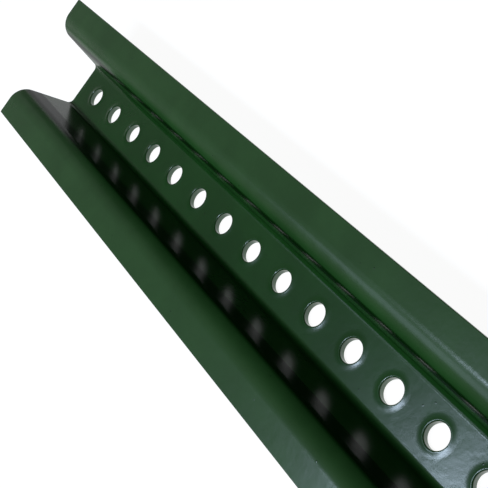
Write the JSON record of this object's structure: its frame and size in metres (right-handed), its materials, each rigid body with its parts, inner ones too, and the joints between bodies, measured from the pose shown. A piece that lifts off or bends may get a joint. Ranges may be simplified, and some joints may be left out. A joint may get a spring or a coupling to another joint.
{
  "type": "u-channel post",
  "caption": "Flanged steel U-channel post: flat web with a row of round bolt holes, walls that lean outward, round bends and flat outer flanges, green powder coated.",
  "frame": {"origin": "under the middle of the web's back face, half way along the post and on the surface that it lies on", "axes": "+X along the post, away from the end that lies nearer to its first bolt hole; +Y across it; +Z out of the channel's open side"},
  "size_m": [0.9144, 0.079, 0.0375],
  "materials": {
    "powder_coat": "satin green powder coat"
  },
  "bodies": {
    "root": {"u_channel_post": "powder_coat"}
  },
  "joints": []
}
